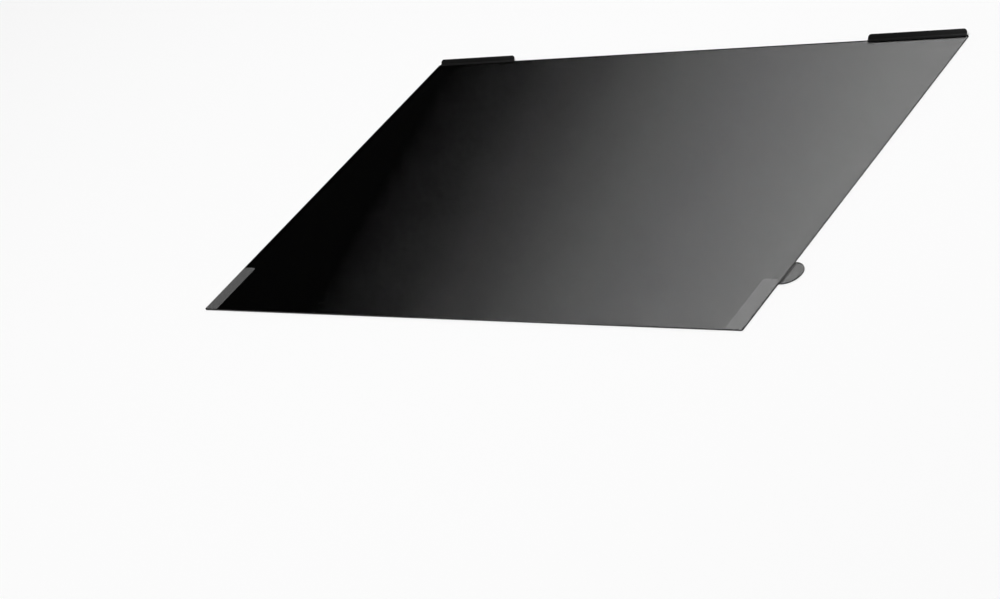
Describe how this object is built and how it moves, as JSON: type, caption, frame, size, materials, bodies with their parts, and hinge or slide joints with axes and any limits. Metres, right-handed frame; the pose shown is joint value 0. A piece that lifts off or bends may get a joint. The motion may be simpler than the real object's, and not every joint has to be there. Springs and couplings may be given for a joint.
{
  "type": "laptop privacy filter",
  "caption": "Thin dark louvre-film privacy sheet with a half-round grip tab, folded adhesive hinge strips at its top corners and frosted stabiliser strips at its bottom corners.",
  "frame": {"origin": "middle of the sheet's rectangle, on its back face", "axes": "+X along the width towards the grip tab, +Y towards the hung edge, +Z out of the front face"},
  "size_m": [0.2929, 0.1808, 0.0024],
  "materials": {
    "louvre_film": "satin dark film with fine upright louvres, see-through from the front",
    "black_film": "matte black film",
    "adhesive": "pale soft acrylic adhesive",
    "frosted_film": "frosted translucent film"
  },
  "bodies": {
    "root": {"filter_sheet": "louvre_film", "left_hinge_strip": "black_film", "right_hinge_strip": "black_film", "left_flap_pad": "adhesive", "right_flap_pad": "adhesive", "left_stabiliser_strip": "frosted_film", "right_stabiliser_strip": "frosted_film"}
  },
  "joints": []
}
